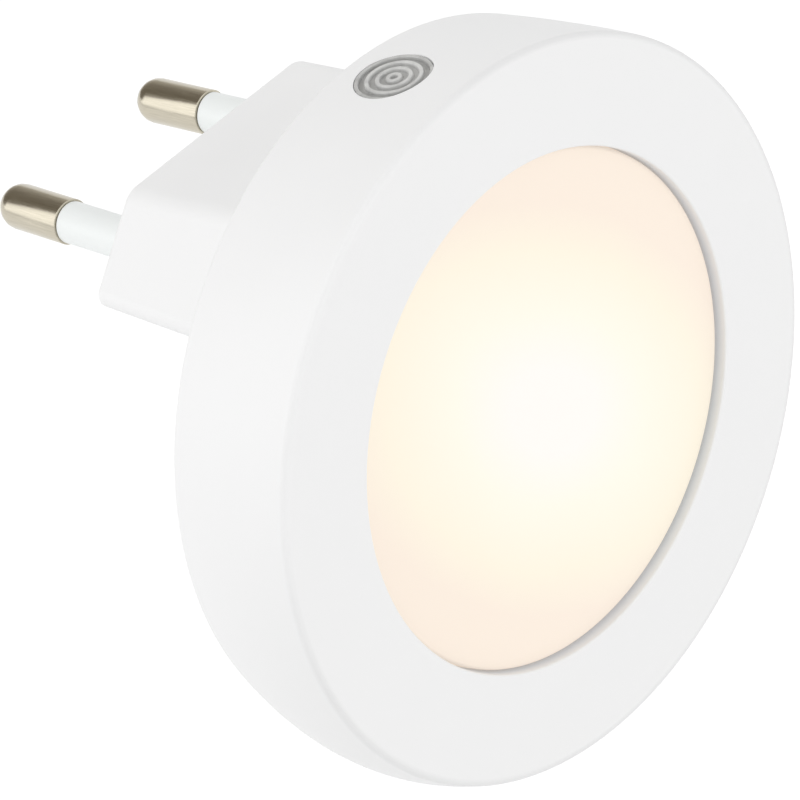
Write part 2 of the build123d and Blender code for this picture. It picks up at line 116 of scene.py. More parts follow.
class LensSizes(bpy.types.PropertyGroup):
    """Sizes of the round opal lens."""

    radius: length("Lens radius", "Outside radius where the lens shows", 22.1)
    bezel_face: length("Bezel face", "Distance of the bezel's face from the wall", bezel_face)
    edge_depth: length("Edge depth", "How far the lens's edge lies behind the bezel's face", 1.0)
    rise: length("Middle", "How far the middle stands out of the bezel's face", 0.4)
    thickness: length("Thickness", "Wall thickness of the lens", 1.5)
    edge_round: length("Edge round", "Round of the lens's front edge", 0.3)
    flange_radius: length("Flange radius", "Outside radius of the clamped flange", 23.4)
    flange_front: length("Flange front", "Distance of the flange's front from the wall", 29.7)
    flange_thickness: length("Flange thickness", "Thickness of the clamped flange", 1.0)


class WindowSizes(bpy.types.PropertyGroup):
    """Sizes of the ringed sensor window."""

    radius: length("Window radius", "Outside radius of the window", 3.3)
    setback: length("Setback", "Distance of the window's axis from the wall", 24.0)
    face: length("Face", "Distance of the window's face from the head's axis", 31.13)
    thickness: length("Thickness", "Thickness of the window's disc", 1.05)
    pipe_radius: length("Pipe radius", "Radius of the light pipe under the disc", 2.55)
    pipe_length: length("Pipe length", "Length of the light pipe under the disc", 1.8)
    groove_depth: length("Groove depth", "Depth of a groove between two rings", 0.3)
    rings: bpy.props.IntProperty(
        name="Grooves", description="How many round grooves the window has", default=4, min=1,
    )
    crest: bpy.props.FloatProperty(
        name="Crest", description="Share of the rings' pitch that stands up", default=0.35,
        min=0.05, max=0.9, subtype="FACTOR",
    )


class PinSizes(bpy.types.PropertyGroup):
    """Sizes of the two pins and their sleeves."""

    radius: length("Pin radius", "Radius of the bare metal", 2.0)
    length: length("Pin length", "Reach of a pin out of the plug face", 19.0)
    spacing_base: length("Spacing at the plug", "Distance of the pins where they leave it", 18.6)
    spacing_tip: length("Spacing at the tips", "Distance of the pins at their tips", 17.5)
    tip_round: length("Tip round", "Round of a pin's tip", 1.95)
    neck_radius: length("Neck radius", "Radius of the metal inside the sleeve", 1.5)
    sleeve_radius: length("Sleeve radius", "Radius of the insulating sleeve", 1.84)
    sleeve_length: length("Sleeve length", "Reach of a sleeve out of the plug face", 10.9)
    sleeve_root: length("Sleeve root", "How deep a sleeve starts inside the plug face", 2.4)
    collar_radius: length("Collar radius", "Radius of the collar behind the carrier", 2.3)
    collar_front: length("Collar front", "Depth of the collar's front inside the plug", 8.6)
    collar_thickness: length("Collar thickness", "Thickness of the collar", 1.0)
    tail_radius: length("Tail radius", "Radius of the riveted tail", 1.0)
    tail_length: length("Tail length", "Length of the tail behind the collar", 2.0)


class Colours(bpy.types.PropertyGroup):
    """Colours of the parts that show, and of those inside."""

    housing: colour("Housing", "Moulded shell of the head", "F2F2F2")
    cover: colour("Rear cover", "Moulded cover and plug block", "F3F3F3")
    lens_middle: colour("Lens middle", "Lit lens at its middle", "FFFAF5")
    lens_cream: colour("Lens cream", "Lit lens a third of the way out", "FFFAEB")
    lens_warm: colour("Lens warm", "Lit lens two thirds of the way out", "FEF5E2")
    lens_edge: colour("Lens edge", "Lit lens at its edge", "FBEDDE")
    window: colour("Sensor window", "Clear window over the sensor", "E2E2E0")
    nickel: colour("Nickel", "Plated pins", "C8C1B0")
    sleeve: colour("Sleeve", "Insulation of the pins", "F1F4F3")
    board: colour("Board", "Solder mask of the circuit board", "1F6B3C")
    live: colour("Live lead", "Insulation of the live lead", "6B3A1E")
    neutral: colour("Neutral lead", "Insulation of the neutral lead", "2A5FA8")


class StageSizes(bpy.types.PropertyGroup):
    """Floor, lamps and camera."""

    floor_drop: length("Floor drop", "Gap between the object and the floor", 45.0)
    floor_size: length("Floor size", "Side of the floor", 6000.0)
    ambient: bpy.props.FloatProperty(
        name="Ambient", description="Level of the light from all round", default=0.74, min=0.0,
    )
    side_power: bpy.props.FloatProperty(
        name="Side lamp", description="Power of the lamp beside the plug, in watts",
        default=1.15, min=0.0, unit="POWER",
    )
    front_power: bpy.props.FloatProperty(
        name="Front lamp", description="Power of the lamp before the bezel, in watts",
        default=1.05, min=0.0, unit="POWER",
    )
    focal_length: bpy.props.FloatProperty(
        name="Focal length", description="Focal length of the camera, in millimetres",
        default=228.38, min=1.0,
    )


# ------------------------------------------------------------------------ mesh helpers

def outline(bm, points, rounds, centre, radial, axis):
    """Lays a closed outline of (radius, along) points and rounds the corners in `rounds`."""
    verts = [bm.verts.new(centre + radial * r + axis * a) for r, a in points]
    for here, after in zip(verts, verts[1:] + verts[:1]):
        bm.edges.new((here, after))
    for index, size in rounds.items():
        bmesh.ops.bevel(
            bm, geom=[verts[index]], offset=size, offset_type="OFFSET", segments=6,
            profile=0.5, affect="VERTICES", material=-1,
        )


def turn(bm, centre, axis, steps):
    """Spins what the mesh holds once round an axis and closes its seam and poles."""
    bmesh.ops.spin(
        bm, geom=bm.verts[:] + bm.edges[:], cent=centre, axis=axis, dvec=(0, 0, 0),
        angle=tau, space=Matrix.Identity(4), steps=steps, use_merge=True,
        use_normal_flip=False, use_duplicate=False,
    )
    bmesh.ops.remove_doubles(bm, verts=bm.verts, dist=1e-7)
    bmesh.ops.dissolve_degenerate(bm, edges=bm.edges, dist=1e-8)
    bmesh.ops.recalc_face_normals(bm, faces=bm.faces)


def new_piece(name, bm, material, replaced):
    """Makes an object of a mesh, with smooth faces and sharp corners, and puts it on the model."""
    for face in bm.faces:
        face.smooth = True
    for edge in bm.edges:
        edge.smooth = edge.is_manifold and edge.calc_face_angle() < radians(32)
    mesh = bpy.data.meshes.new(name)
    bm.to_mesh(mesh)
    bm.free()
    mesh.materials.append(material)
    piece = bpy.data.objects.new(name, mesh)
    bpy.context.scene.collection.objects.link(piece)
    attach(piece, BODY)
    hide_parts(replaced)
    return piece


def dress(material, *nodes):
    """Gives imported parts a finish."""
    for name in nodes:
        for index in range(len(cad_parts[name].material_slots)):
            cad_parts[name].material_slots[index].material = material


# -------------------------------------------------------------------- material helpers

def node(tree, kind, inputs=None, **settings):
    """Adds a node with its settings. An input takes a value or the socket that feeds it."""
    made = tree.nodes.new(kind)
    for key, value in settings.items():
        setattr(made, key, value)
    for key, value in (inputs or {}).items():
        if isinstance(value, bpy.types.NodeSocket):
            tree.links.new(value, made.inputs[key])
        else:
            made.inputs[key].default_value = value
    return made


def blank(name):
    """A new material's node tree, its output and the object coordinates, in metres."""
    material = bpy.data.materials.new(name)
    material.use_nodes = True
    tree = material.node_tree
    tree.nodes.clear()
    output = tree.nodes.new("ShaderNodeOutputMaterial")
    place = tree.nodes.new("ShaderNodeTexCoord").outputs["Object"]
    return material, tree, output, place


def set_ramp(ramp, stops):
    """Sets a colour ramp's stops, each a place and a colour."""
    elements = ramp.color_ramp.elements
    while len(elements) < len(stops):
        elements.new(0.5)
    for element, (place, value) in zip(elements, stops):
        element.position = place
        element.color = value


def shade(value, factor):
    """A colour made darker or lighter."""
    return [min(1.0, part * factor) for part in value[:3]] + [1.0]


def moulded(name, base, roughness, grain_mm, depth_mm, ior=1.54):
    """Moulded plastic: a fine eroded grain and a slow change of gloss, as a steel mould leaves."""
    material, tree, output, place = blank(name)
    grain = node(tree, "ShaderNodeTexNoise", {
        "Vector": place, "Scale": 1 / (grain_mm * MM), "Detail": 2.0, "Roughness": 0.55,
    })
    flow = node(tree, "ShaderNodeTexNoise", {"Vector": place, "Scale": 1 / (9 * MM), "Detail": 2.0})
    tone = node(tree, "ShaderNodeValToRGB", {"Fac": flow.outputs["Fac"]})
    set_ramp(tone, [(0.3, shade(base, 0.997)), (0.7, shade(base, 1.003))])
    gloss = node(tree, "ShaderNodeMapRange", {
        "Value": flow.outputs["Fac"], "From Min": 0.3, "From Max": 0.7,
        "To Min": roughness - 0.04, "To Max": roughness + 0.04,
    })
    bump = node(tree, "ShaderNodeBump", {
        "Height": grain.outputs["Fac"], "Strength": 0.35, "Distance": depth_mm * MM,
    })
    shader = node(tree, "ShaderNodeBsdfPrincipled", {
        "Base Color": tone.outputs["Color"], "Roughness": gloss.outputs["Result"],
        "IOR": ior, "Normal": bump.outputs["Normal"],
    })
    tree.links.new(shader.outputs["BSDF"], output.inputs["Surface"])
    return material


def drawn_metal(name, base, roughness, across_mm, along_mm, along="Y"):
    """Metal with fine lines that run along one axis, from drawing, turning or stamping."""
    material, tree, output, place = blank(name)
    scale = {axis: 1 / (across_mm * MM) for axis in "XYZ"}
    scale[along] = 1 / (along_mm * MM)
    lines = node(tree, "ShaderNodeMapping", {
        "Vector": place, "Scale": [scale[axis] for axis in "XYZ"],
    })
    streaks = node(tree, "ShaderNodeTexNoise", {
        "Vector": lines.outputs["Vector"], "Scale": 1.0, "Detail": 5.0, "Roughness": 0.65,
    })
    tone = node(tree, "ShaderNodeValToRGB", {"Fac": streaks.outputs["Fac"]})
    set_ramp(tone, [(0.3, shade(base, 0.86)), (0.7, shade(base, 1.06))])
    gloss = node(tree, "ShaderNodeMapRange", {
        "Value": streaks.outputs["Fac"], "From Min": 0.3, "From Max": 0.7,
        "To Min": roughness - 0.05, "To Max": roughness + 0.06,
    })
    bump = node(tree, "ShaderNodeBump", {
        "Height": streaks.outputs["Fac"], "Strength": 0.3, "Distance": 0.002 * MM,
    })
    shader = node(tree, "ShaderNodeBsdfPrincipled", {
        "Base Color": tone.outputs["Color"], "Metallic": 1.0,
        "Roughness": gloss.outputs["Result"], "Normal": bump.outputs["Normal"],
    })
    tree.links.new(shader.outputs["BSDF"], output.inputs["Surface"])
    return material


# --------------------------------------------------------------------------- finishes

def housing_abs(name, base):
    # ABS, injection moulded in a finely eroded steel mould: satin white that stays even, with
    # a soft sheen at the rounds. The real grain is about 0.05 mm, drawn at 0.22 mm to show.
    return moulded(name, base, roughness=0.46, grain_mm=0.22, depth_mm=0.006)


def painted_edge_shades(material, base, recess_radius, recess_depth, rim_radius, rim_round):
    """Paints two shades into the colour itself: a painted shade in the recess round the lens, and
    a painted dark band of shade on the rim's round. They add to what the lamps give, and show
    the same from every side."""
    tree = material.node_tree
    shader = next(n for n in tree.nodes if n.type == "BSDF_PRINCIPLED")
    tone = shader.inputs["Base Color"].links[0].from_socket
    place = tree.nodes.new("ShaderNodeTexCoord").outputs["Object"]
    split = node(tree, "ShaderNodeSeparateXYZ", {"Vector": place})
    flat = node(tree, "ShaderNodeCombineXYZ", {"X": split.outputs["X"], "Z": split.outputs["Z"]})
    spoke = node(tree, "ShaderNodeVectorMath", {
        0: flat.outputs["Vector"], 1: (head_centre.x, 0, head_centre.z),
    }, operation="SUBTRACT")
    reach = node(tree, "ShaderNodeVectorMath", {0: spoke.outputs["Vector"]}, operation="LENGTH")
    inside = node(tree, "ShaderNodeMapRange", {
        "Value": reach.outputs["Value"], "From Min": recess_radius,
        "From Max": recess_radius + 0.3 * MM, "To Min": 1.0, "To Max": 0.0,
    })
    below = node(tree, "ShaderNodeMapRange", {
        "Value": split.outputs["Y"], "From Min": -bezel_face * MM,
        "From Max": -bezel_face * MM + recess_depth,
    })
    recess = node(tree, "ShaderNodeMath", {
        0: inside.outputs["Result"], 1: below.outputs["Result"],
    }, operation="MULTIPLY")
    # painted shade: the recess round the lens turns a cool grey, darker towards its floor
    shaded = node(tree, "ShaderNodeMix", {
        "Factor": recess.outputs["Value"], "A": tone, "B": linear("CFD5DD"),
    }, data_type="RGBA")
    # painted shade: a darker band along the rim's round
    section = node(tree, "ShaderNodeCombineXYZ", {
        "X": reach.outputs["Value"], "Y": split.outputs["Y"],
    })
    off = node(tree, "ShaderNodeVectorMath", {
        0: section.outputs["Vector"],
        1: (rim_radius - 0.3 * rim_round, -bezel_face * MM + 0.3 * rim_round, 0),
    }, operation="DISTANCE")
    rim_shade = node(tree, "ShaderNodeMapRange", {
        "Value": off.outputs["Value"], "From Min": 0.3 * rim_round, "From Max": rim_round,
        "To Min": 1.0, "To Max": 0.0,
    })
    # the painted band of shade fades out above on the left, facing the side lamp, where the main
    # view shows none
    aside = node(tree, "ShaderNodeVectorMath", {0: spoke.outputs["Vector"]}, operation="NORMALIZE")
    towards = node(tree, "ShaderNodeVectorMath", {
        0: aside.outputs["Vector"], 1: (-0.76, 0, 0.65),
    }, operation="DOT_PRODUCT")
    kept = node(tree, "ShaderNodeMapRange", {
        "Value": towards.outputs["Value"], "From Min": 0.6, "From Max": 0.92,
        "To Min": 1.0, "To Max": 0.0,
    })
    drawn = node(tree, "ShaderNodeMath", {
        0: rim_shade.outputs["Result"], 1: kept.outputs["Result"],
    }, operation="MULTIPLY")
    with_painted_shades = node(tree, "ShaderNodeMix", {
        "Factor": drawn.outputs["Value"], "A": shaded.outputs[2], "B": shade(base, 0.92),
    }, data_type="RGBA")
    tree.links.new(with_painted_shades.outputs[2], shader.inputs["Base Color"])
    return material


def opal_pmma(middle, cream, warm, edge, radius):
    # Opal PMMA, moulded: even milky white at the middle that warms to cream and to a peach
    # edge. The lit look is a drawn ramp that glows by itself, since no diode gives light here.
    material, tree, output, place = blank("opal_pmma_lit")
    centred = node(tree, "ShaderNodeMapping", {
        "Vector": place, "Location": (-head_centre.x, 0, -head_centre.z),
    }, vector_type="POINT")
    # the glow is drawn longer along one slanting line, as it looks in the main view
    askew = node(tree, "ShaderNodeMapping", {
        "Vector": centred.outputs["Vector"], "Rotation": (0, radians(-45), 0),
    }, vector_type="POINT")
    spread = node(tree, "ShaderNodeMapping", {
        "Vector": askew.outputs["Vector"], "Scale": (0.66 / radius, 0, 1.06 / radius),
    }, vector_type="POINT")
    reach = node(tree, "ShaderNodeVectorMath", {0: spread.outputs["Vector"]}, operation="LENGTH")
    cloud = node(tree, "ShaderNodeTexNoise", {
        "Vector": place, "Scale": 1 / (14 * MM), "Detail": 2.0, "Roughness": 0.5,
    })
    drift = node(tree, "ShaderNodeMath", {
        0: cloud.outputs["Fac"], 1: 0.10, 2: reach.outputs["Value"],
    }, operation="MULTIPLY_ADD")
    glow = node(tree, "ShaderNodeValToRGB", {"Fac": drift.outputs["Value"]})
    set_ramp(glow, [
        (0.0, middle), (0.22, middle), (0.43, cream), (0.68, warm), (0.86, edge), (1.0, edge),
    ])
    body = node(tree, "ShaderNodeMix", {
        "Factor": 1.0, "A": glow.outputs["Color"], "B": (0.55, 0.55, 0.55, 1.0),
    }, data_type="RGBA", blend_type="MULTIPLY")
    grain = node(tree, "ShaderNodeTexNoise", {
        "Vector": place, "Scale": 1 / (0.3 * MM), "Detail": 2.0,
    })
    bump = node(tree, "ShaderNodeBump", {
        "Height": grain.outputs["Fac"], "Strength": 0.2, "Distance": 0.004 * MM,
    })
    shader = node(tree, "ShaderNodeBsdfPrincipled", {
        "Base Color": body.outputs[2], "Roughness": 0.42, "IOR": 1.49,
        "Emission Color": glow.outputs["Color"], "Emission Strength": 0.455,
        "Normal": bump.outputs["Normal"],
    })
    tree.links.new(shader.outputs["BSDF"], output.inputs["Surface"])
    return material


def window_polycarbonate(base, face, depth, axis, seat_radius):
    # Clear polycarbonate over a dark cell, polished in the mould: greyish, with a faint uneven
    #     haze. It is drawn as a mostly opaque grey, with the haze in the colour. Painted shade
    #     makes the grooves and the outer band darker than the crests, and painted light makes the
    #     right side paler.
    material, tree, output, place = blank("window_polycarbonate")
    haze = node(tree, "ShaderNodeTexNoise", {
        "Vector": place, "Scale": 1 / (1.3 * MM), "Detail": 4.0, "Distortion": 0.8,
    })
    tone = node(tree, "ShaderNodeValToRGB", {"Fac": haze.outputs["Fac"]})
    set_ramp(tone, [(0.35, shade(base, 0.86)), (0.68, shade(base, 1.06))])
    split = node(tree, "ShaderNodeSeparateXYZ", {"Vector": place})
    # painted shade: darker down in the grooves, brightest on the crests
    height = node(tree, "ShaderNodeMapRange", {
        "Value": split.outputs["Z"], "From Min": face - depth, "From Max": face,
        "To Min": 0.72, "To Max": 1.0,
    })
    flat = node(tree, "ShaderNodeCombineXYZ", {"X": split.outputs["X"], "Y": split.outputs["Y"]})
    reach = node(tree, "ShaderNodeVectorMath", {
        0: flat.outputs["Vector"], 1: axis,
    }, operation="DISTANCE")
    # painted shade: the outer band beyond the light pipe is darker
    seat = node(tree, "ShaderNodeMapRange", {
        "Value": reach.outputs["Value"], "From Min": seat_radius,
        "From Max": seat_radius + 0.1 * MM, "To Min": 1.0, "To Max": 0.84,
    })
    # painted light: the window grows paler towards its right side
    side = node(tree, "ShaderNodeMapRange", {
        "Value": split.outputs["X"], "From Min": -seat_radius, "From Max": 1.3 * seat_radius,
        "To Min": 1.0, "To Max": 1.12,
    })
    band_shade_and_side_light = node(tree, "ShaderNodeMath", {
        0: seat.outputs["Result"], 1: side.outputs["Result"],
    }, operation="MULTIPLY")
    painted_shade_and_light = node(tree, "ShaderNodeMath", {
        0: height.outputs["Result"], 1: band_shade_and_side_light.outputs["Value"],
    }, operation="MULTIPLY")
    rings = node(tree, "ShaderNodeMix", {
        "Factor": 1.0, "A": tone.outputs["Color"], "B": painted_shade_and_light.outputs["Value"],
    }, data_type="RGBA", blend_type="MULTIPLY")
    shader = node(tree, "ShaderNodeBsdfPrincipled", {
        "Base Color": rings.outputs[2], "Roughness": 0.16, "IOR": 1.58,
        "Transmission Weight": 0.2,
    })
    tree.links.new(shader.outputs["BSDF"], output.inputs["Surface"])
    return material


def board_laminate(base):
    # Glass epoxy laminate under green solder mask: glossy, with the cloth's weave just
    # showing. The weave's real pitch is 0.45 mm. The tracks are a made-up net of lines.
    material, tree, output, place = blank("board_laminate")
    turned = node(tree, "ShaderNodeMapping", {"Vector": place, "Rotation": (radians(90), 0, 0)})
    weave = node(tree, "ShaderNodeTexChecker", {
        "Vector": turned.outputs["Vector"], "Color1": shade(base, 0.86), "Color2": base,
        "Scale": 1 / (0.45 * MM),
    })
    copper = node(tree, "ShaderNodeTexVoronoi", {
        "Vector": place, "Scale": 1 / (5.5 * MM), "Randomness": 0.8,
    }, feature="DISTANCE_TO_EDGE")
    track = node(tree, "ShaderNodeValToRGB", {"Fac": copper.outputs["Distance"]})
    set_ramp(track, [(0.06, (1.0, 1.0, 1.0, 1.0)), (0.09, (0.0, 0.0, 0.0, 1.0))])
    tone = node(tree, "ShaderNodeMix", {
        "Factor": track.outputs["Color"], "A": weave.outputs["Color"], "B": shade(base, 1.5),
    }, data_type="RGBA")
    shader = node(tree, "ShaderNodeBsdfPrincipled", {
        "Base Color": tone.outputs[2], "Roughness": 0.3, "IOR": 1.55,
    })
    tree.links.new(shader.outputs["BSDF"], output.inputs["Surface"])
    return material


def banded(name, base, band, pitch_mm, width, axis, roughness):
    """Plastic or lacquer with printed bands across one axis."""
    material, tree, output, place = blank(name)
    stripes = node(tree, "ShaderNodeTexWave", {
        "Vector": place, "Scale": 0.314 / (pitch_mm * MM), "Distortion": 0.0, "Detail": 0.0,
    }, wave_type="BANDS", bands_direction=axis, wave_profile="SAW")
    tone = node(tree, "ShaderNodeValToRGB", {"Fac": stripes.outputs["Fac"]})
    tone.color_ramp.interpolation = "CONSTANT"
    set_ramp(tone, [(0.0, base), (1.0 - width, band)])
    speck = node(tree, "ShaderNodeTexNoise", {"Vector": place, "Scale": 1 / (0.4 * MM)})
    gloss = node(tree, "ShaderNodeMapRange", {
        "Value": speck.outputs["Fac"], "To Min": roughness - 0.05, "To Max": roughness + 0.05,
    })
    shader = node(tree, "ShaderNodeBsdfPrincipled", {
        "Base Color": tone.outputs["Color"], "Roughness": gloss.outputs["Result"], "IOR": 1.5,
    })
    tree.links.new(shader.outputs["BSDF"], output.inputs["Surface"])
    return material


def cell_ceramic():
    # Light sensor: a pale ceramic disc under clear lacquer. Its winding red-brown track is
    # drawn as straight bands.
    return banded(
        "cell_ceramic", linear("C9A98A"), linear("7A3524"), 0.55, 0.45, "X", roughness=0.25,
    )


def floor_paper():
    # Seamless background paper: plain and white. Where it is seen it also glows by itself, so
    # that it stays near white with only a faint shade.
    material, tree, output, place = blank("background_paper")
    fibre = node(tree, "ShaderNodeTexNoise", {"Vector": place, "Scale": 1 / (1.5 * MM)})
    bump = node(tree, "ShaderNodeBump", {
        "Height": fibre.outputs["Fac"], "Strength": 0.05, "Distance": 0.02 * MM,
    })
    lit = node(tree, "ShaderNodeBsdfDiffuse", {
        "Color": (0.9, 0.9, 0.9, 1.0), "Normal": bump.outputs["Normal"],
    })
    veil = node(tree, "ShaderNodeBsdfDiffuse", {"Color": (0.45, 0.45, 0.45, 1.0)})
    white = node(tree, "ShaderNodeEmission", {"Color": (1.0, 1.0, 1.0, 1.0), "Strength": 0.65})
    seen = node(tree, "ShaderNodeAddShader", {
        0: veil.outputs["BSDF"], 1: white.outputs["Emission"],
    })
    shown = seen_rays(tree)
    mix = node(tree, "ShaderNodeMixShader", {
        "Fac": shown, 1: lit.outputs["BSDF"], 2: seen.outputs["Shader"],
    })
    tree.links.new(mix.outputs["Shader"], output.inputs["Surface"])
    return material


def flag_cloth(width):
    # Studio flag: a warm grey panel, paler to one side. It glows by itself, so its brightness
    # is set here and not by the lamps.
    material, tree, output, place = blank("flag_cloth")
    split = node(tree, "ShaderNodeSeparateXYZ", {"Vector": place})
    across = node(tree, "ShaderNodeMapRange", {
        "Value": split.outputs["X"], "From Min": -width / 2, "From Max": width / 2,
    })
    tone = node(tree, "ShaderNodeValToRGB", {"Fac": across.outputs["Result"]})
    set_ramp(tone, [
        (0.0, linear("97918A")), (0.22, linear("756E62")), (0.6, linear("908A82")),
        (1.0, linear("CFCBC4")),
    ])
    glow = node(tree, "ShaderNodeEmission", {"Color": tone.outputs["Color"], "Strength": 1.0})
    tree.links.new(glow.outputs["Emission"], output.inputs["Surface"])
    return material


def seen_rays(tree):
    """A socket that is 1 for what the camera, a reflection or a clear part sees."""
    path = node(tree, "ShaderNodeLightPath")
    mirror = node(tree, "ShaderNodeMath", {
        0: path.outputs["Is Camera Ray"], 1: path.outputs["Is Glossy Ray"],
    }, operation="MAXIMUM")
    clear = node(tree, "ShaderNodeMath", {
        0: mirror.outputs["Value"], 1: path.outputs["Is Transmission Ray"],
    }, operation="MAXIMUM")
    return clear.outputs["Value"]


# --------------------------------------------------------------------------- operators

class NIGHTLIGHT_OT_housing(bpy.types.Operator):
    """Finish the moulded head and the clamp ring and reflector inside it"""

    bl_idname = "night_light.housing"
    bl_label = "Head housing"

    def execute(self, context):
        lens = context.scene.night_light_lens
        housing = list(context.scene.night_light_colours.housing)
        shell = housing_abs("satin_abs_head", housing)
        # paints shade into the shell's colour: in the recess round the lens and along the rim's
        # round
        recess_radius = lens.radius + RECESS_GAP
        painted_edge_shades(shell, housing, recess_radius, lens.edge_depth, RIM_RADIUS, RIM_ROUND)
        dress(shell, "front_housing")
        # ABS from a polished mould: a little glossier than the shell
        dress(moulded("ring_abs", linear("F2F2F0"), 0.35, 0.4, 0.004), "clamp_ring")
        # white polycarbonate with much titanium white: bright and smooth, to throw the light on
        white = moulded("reflector_polycarbonate", linear("FAFAF7"), 0.22, 0.6, 0.003, 1.58)
        dress(white, "reflector")
        return {"FINISHED"}


class NIGHTLIGHT_OT_cover(bpy.types.Operator):
    """Finish the rear cover with its plug block, and the pin carrier inside it"""

    bl_idname = "night_light.cover"
    bl_label = "Rear cover and plug block"

    def execute(self, context):
        colours = context.scene.night_light_colours
        dress(housing_abs("satin_abs_cover", list(colours.cover)), "rear_cover")
        # glass-filled PBT: pale, with a dry matt skin from the fibres
        dress(moulded("carrier_pbt", linear("E4E1D8"), 0.6, 0.3, 0.012), "pin_carrier")
        # polyester film: thin, smooth and milky
        film = moulded("insulation_film", linear("E9ECEC"), 0.2, 1.2, 0.002, 1.64)
        dress(film, "insulation_sheet")
        return {"FINISHED"}


class NIGHTLIGHT_OT_lens(bpy.types.Operator):
    """Turn the domed opal lens with its clamped flange"""

    bl_idname = "night_light.lens"
    bl_label = "Opal lens"

    def execute(self, context):
        sizes = context.scene.night_light_lens
        colours = context.scene.night_light_colours
        centre = Vector((head_centre.x, 0, head_centre.z))
        axis, radial = Vector((0, -1, 0)), Vector((1, 0, 0))
        bm = bmesh.new()
        edge, top = sizes.bezel_face - sizes.edge_depth, sizes.bezel_face + sizes.rise
        inner = sizes.radius - sizes.thickness
        back = sizes.flange_front - sizes.flange_thickness
        ends = []
        for reach, crown, low in (
            (sizes.radius, top, edge),
            (inner, top - sizes.thickness, edge - sizes.thickness),
        ):
            rise = crown - low
            dome = (reach ** 2 + rise ** 2) / (2 * rise)
            start = bm.verts.new(centre + axis * crown)
            arc = bmesh.ops.spin(
                bm, geom=[start], cent=centre + axis * (crown - dome), axis=axis.cross(radial),
                dvec=(0, 0, 0), angle=asin(reach / dome), space=Matrix.Identity(4), steps=24,
                use_merge=False, use_normal_flip=False, use_duplicate=False,
            )
            last = next(v for v in arc["geom_last"] if isinstance(v, bmesh.types.BMVert))
            ends.append((start, last))
        (_, outer_end), (_, inner_end) = ends
        corners = [
            (sizes.radius, sizes.flange_front), (sizes.flange_radius, sizes.flange_front),
            (sizes.flange_radius, back), (inner, back),
        ]
        chain = [outer_end]
        chain += [bm.verts.new(centre + radial * r + axis * a) for r, a in corners]
        chain.append(inner_end)
        for here, after in zip(chain, chain[1:]):
            bm.edges.new((here, after))
        bmesh.ops.bevel(
            bm, geom=[outer_end], offset=sizes.edge_round, offset_type="OFFSET", segments=6,
            profile=0.5, affect="VERTICES", material=-1,
        )
        turn(bm, centre, axis, 256)
        material = opal_pmma(
            list(colours.lens_middle), list(colours.lens_cream), list(colours.lens_warm),
            list(colours.lens_edge), sizes.radius,
        )
        new_piece("opal_lens", bm, material, "diffuser")
        return {"FINISHED"}


class NIGHTLIGHT_OT_window(bpy.types.Operator):
    """Turn the ringed sensor window with its light pipe"""

    bl_idname = "night_light.window"
    bl_label = "Sensor window"

    def execute(self, context):
        sizes = context.scene.night_light_window
        centre = Vector((head_centre.x, -sizes.setback, head_centre.z))
        axis, radial = Vector((0, 0, 1)), Vector((1, 0, 0))
        seat = sizes.face - sizes.thickness
        pitch = sizes.radius / (sizes.rings - 0.25)
        floor = sizes.face - sizes.groove_depth
        rounds = {0: 0.12 * MM}
        points = [(sizes.radius, sizes.face)]
        for ring in range(sizes.rings):
            crest_inside = sizes.radius - (ring + sizes.crest) * pitch
            rounds[len(points)] = CREST_ROUND
            points.append((crest_inside, sizes.face))
            points.append((crest_inside - GROOVE_SLOPE, floor))
            if ring < sizes.rings - 1:
                crest_outside = sizes.radius - (ring + 1) * pitch
                points.append((crest_outside + GROOVE_SLOPE, floor))
                rounds[len(points)] = CREST_ROUND
                points.append((crest_outside, sizes.face))
        points += [
            (0, floor), (0, seat - sizes.pipe_length),
            (sizes.pipe_radius, seat - sizes.pipe_length), (sizes.pipe_radius, seat),
            (sizes.radius, seat),
        ]
        bm = bmesh.new()
        outline(bm, points, rounds, centre, radial, axis)
        turn(bm, centre, axis, 128)
        material = window_polycarbonate(
            list(context.scene.night_light_colours.window), head_centre.z + sizes.face,
            sizes.groove_depth, (head_centre.x, -sizes.setback, 0), sizes.pipe_radius,
        )
        new_piece("window_lens", bm, material, "sensor_window")
        return {"FINISHED"}


class NIGHTLIGHT_OT_pins(bpy.types.Operator):
    """Turn the two plated pins with their rounded tips"""

    bl_idname = "night_light.pins"
    bl_label = "Pins"

    def execute(self, context):
        sizes = context.scene.night_light_pins
        # brass rod, turned and bright nickel plated: warm grey, with a soft mirror shine and
        # faint draw lines. The lines are about 0.02 mm apart, drawn at 0.12 mm to show.
        nickel = drawn_metal(
            "nickel_plate", list(context.scene.night_light_colours.nickel), 0.2, 0.12, 3.0,
        )
        collar_root = -(sizes.collar_front + sizes.collar_thickness)
        points = [
            (0, sizes.length), (0, collar_root - sizes.tail_length),
            (sizes.tail_radius, collar_root - sizes.tail_length), (sizes.tail_radius, collar_root),
            (sizes.collar_radius, collar_root), (sizes.collar_radius, -sizes.collar_front),
            (sizes.neck_radius, -sizes.collar_front), (sizes.neck_radius, sizes.sleeve_length),
            (sizes.radius, sizes.sleeve_length), (sizes.radius, sizes.length),
        ]
        rounds = {9: sizes.tip_round, 8: 0.08 * MM, 2: 0.15 * MM}
        for side, hand in ((-1, "left"), (1, "right")):
            root, axis, radial = pin_line(sizes, side)
            bm = bmesh.new()
            outline(bm, points, rounds, root, radial, axis)
            turn(bm, root, axis, 96)
            new_piece(f"plated_pin_{hand}", bm, nickel, f"pin_{hand}")
        return {"FINISHED"}


